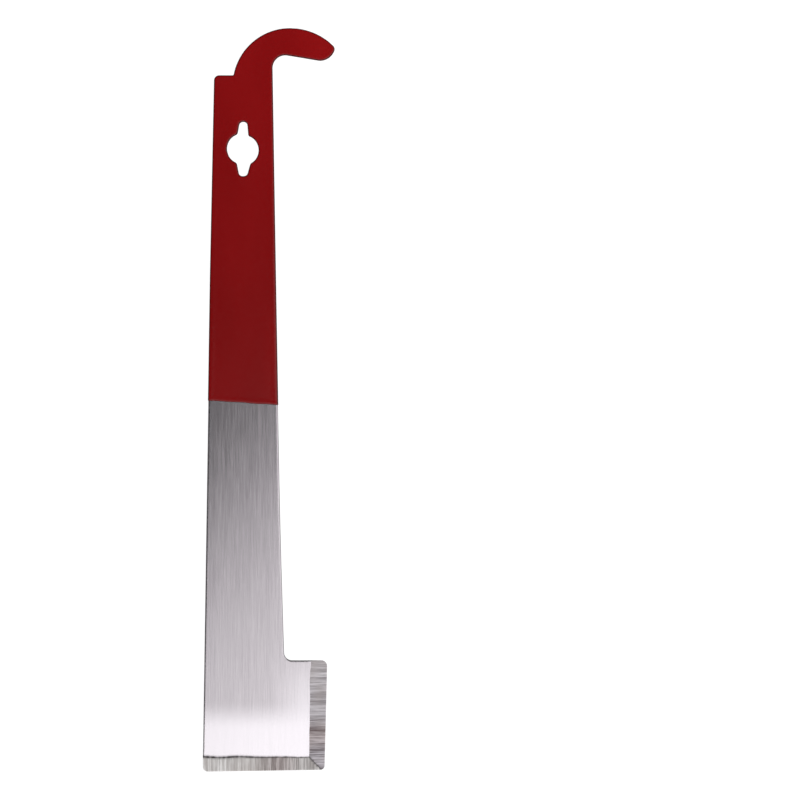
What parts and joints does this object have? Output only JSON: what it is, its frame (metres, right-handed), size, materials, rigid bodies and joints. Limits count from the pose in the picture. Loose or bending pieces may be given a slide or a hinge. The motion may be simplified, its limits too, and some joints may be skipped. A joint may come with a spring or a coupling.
{
  "type": "hive tool",
  "caption": "Flat steel pry bar and scraper with a J-shaped hook, a keyed hanging hole, a side lobe with ground edges, and red paint over its hook half.",
  "frame": {"origin": "bottom centre of the bounding box, on the surface that the painted back face lies on", "axes": "+Z out of the front face, the one that is ground; +Y towards the hook; +X towards the hook's tip and the side lobe"},
  "size_m": [0.0473, 0.2666, 0.0031],
  "materials": {
    "brushed_steel": "lengthwise brushed, with coarse grinding marks across the two ground edges",
    "red_enamel": "semi-gloss deep red enamel"
  },
  "bodies": {
    "root": {"steel_blade": "brushed_steel", "red_coating": "red_enamel"}
  },
  "joints": []
}
